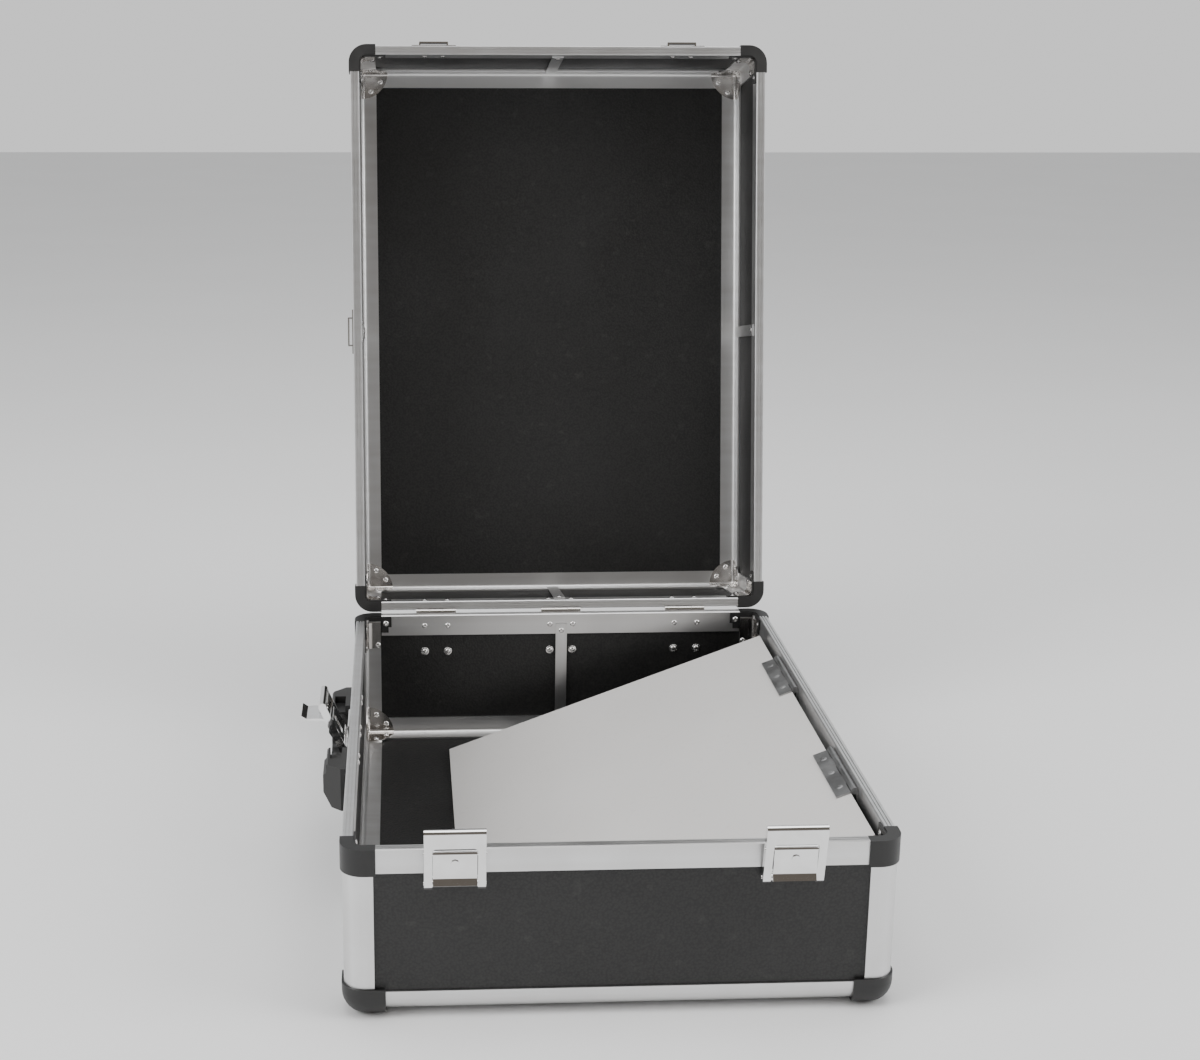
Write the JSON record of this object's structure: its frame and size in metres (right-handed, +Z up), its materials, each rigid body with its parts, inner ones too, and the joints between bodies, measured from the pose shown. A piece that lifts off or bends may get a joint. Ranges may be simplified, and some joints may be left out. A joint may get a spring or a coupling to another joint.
{
  "type": "engineer tool case",
  "caption": "Aluminium-framed tool case with black panels, open hinged lid, draw latches, side carry handle, ball corners and a hinged board inside.",
  "frame": {"origin": "on the ground under the middle of the open case's bounding box", "axes": "+X to the right seen from the front, +Y to the hinges at the back, +Z up"},
  "size_m": [0.365, 0.6436, 0.5551],
  "materials": {
    "aluminium": "satin anodised",
    "panel": "fine pebble grain",
    "plastic": "satin",
    "chrome": "polished",
    "plated": "bright plated",
    "zinc": "dull zinc plated",
    "board": "matt"
  },
  "bodies": {
    "base": {"base_floor_panel": "panel", "base_front_panel": "panel", "base_back_panel": "panel", "base_left_panel": "panel", "base_right_panel": "panel", "base_rim": "aluminium", "base_rim_collars": "plastic", "base_corner_posts": "aluminium", "base_edge_profiles": "aluminium", "base_inner_angles": "aluminium", "base_ball_corners": "plastic", "base_inner_corners": "plated", "base_corner_brackets": "plated", "base_centre_strip": "aluminium", "base_rivets": "plated", "hinge_base_leaves": "plated", "hinge_pins": "plated", "front_left_latch_plate": "chrome", "front_right_latch_plate": "chrome", "side_latch_plate": "chrome", "latch_pivot_pins": "chrome", "handle_front_bracket": "plastic", "handle_back_bracket": "plastic", "handle_pins": "plated", "board_hinge_fixed_leaves": "zinc", "board_hinge_pins": "zinc"},
    "lid": {"lid_top_panel": "panel", "lid_front_panel": "panel", "lid_back_panel": "panel", "lid_left_panel": "panel", "lid_right_panel": "panel", "lid_rim": "aluminium", "lid_rim_collars": "plastic", "lid_corner_posts": "aluminium", "lid_edge_profiles": "aluminium", "lid_inner_angles": "aluminium", "lid_ball_corners": "plastic", "lid_inner_corners": "plated", "lid_corner_brackets": "plated", "lid_centre_strips": "aluminium", "lid_rivets": "plated", "hinge_lid_leaves": "plated", "front_left_keeper": "chrome", "front_right_keeper": "chrome", "side_keeper": "chrome"},
    "board": {"hinged_board": "board", "board_hinge_moving_leaves": "zinc", "board_hinge_screws": "zinc"},
    "handle": {"handle_grip": "plastic"},
    "front_left_hasp_body": {"front_left_hasp": "chrome", "front_left_lever_pin": "chrome"},
    "front_left_lever_body": {"front_left_lever": "chrome"},
    "front_right_hasp_body": {"front_right_hasp": "chrome", "front_right_lever_pin": "chrome"},
    "front_right_lever_body": {"front_right_lever": "chrome"},
    "side_hasp_body": {"side_hasp": "chrome", "side_lever_pin": "chrome"},
    "side_lever_body": {"side_lever": "chrome"}
  },
  "joints": [
    {"name": "lid_hinge", "type": "hinge", "parent": "base", "child": "lid", "pos_m": [0.0161, 0.14271, 0.11], "axis": [-1, 0, 0], "range_deg": [-100.5, 0]},
    {"name": "board_hinge", "type": "hinge", "parent": "base", "child": "board", "pos_m": [0.17185, -0.09539, 0.105], "axis": [0, 1, 0], "range_deg": [0, 105]},
    {"name": "handle_swing", "type": "hinge", "parent": "base", "child": "handle", "pos_m": [-0.1569, -0.08289, 0.088], "axis": [0, 1, 0], "range_deg": [0, 95]},
    {"name": "front_left_hasp_swing", "type": "hinge", "parent": "base", "child": "front_left_hasp_body", "pos_m": [-0.0829, -0.30929, 0.089], "axis": [1, 0, 0], "range_deg": [-10, 40]},
    {"name": "front_left_lever_swing", "type": "hinge", "parent": "front_left_hasp_body", "child": "front_left_lever_body", "pos_m": [-0.0829, -0.31528, 0.11028], "axis": [-1, 0, 0], "range_deg": [0, 118]},
    {"name": "front_right_hasp_swing", "type": "hinge", "parent": "base", "child": "front_right_hasp_body", "pos_m": [0.1151, -0.30929, 0.089], "axis": [1, 0, 0], "range_deg": [-13, 37]},
    {"name": "front_right_lever_swing", "type": "hinge", "parent": "front_right_hasp_body", "child": "front_right_lever_body", "pos_m": [0.1151, -0.31639, 0.10994], "axis": [-1, 0, 0], "range_deg": [-4, 114]},
    {"name": "side_hasp_swing", "type": "hinge", "parent": "base", "child": "side_hasp_body", "pos_m": [-0.1513, -0.08289, 0.089], "axis": [0, -1, 0], "range_deg": [-24, 21]},
    {"name": "side_lever_swing", "type": "hinge", "parent": "side_hasp_body", "child": "side_lever_body", "pos_m": [-0.16226, -0.08289, 0.1082], "axis": [0, 1, 0], "range_deg": [-114, 4]}
  ]
}
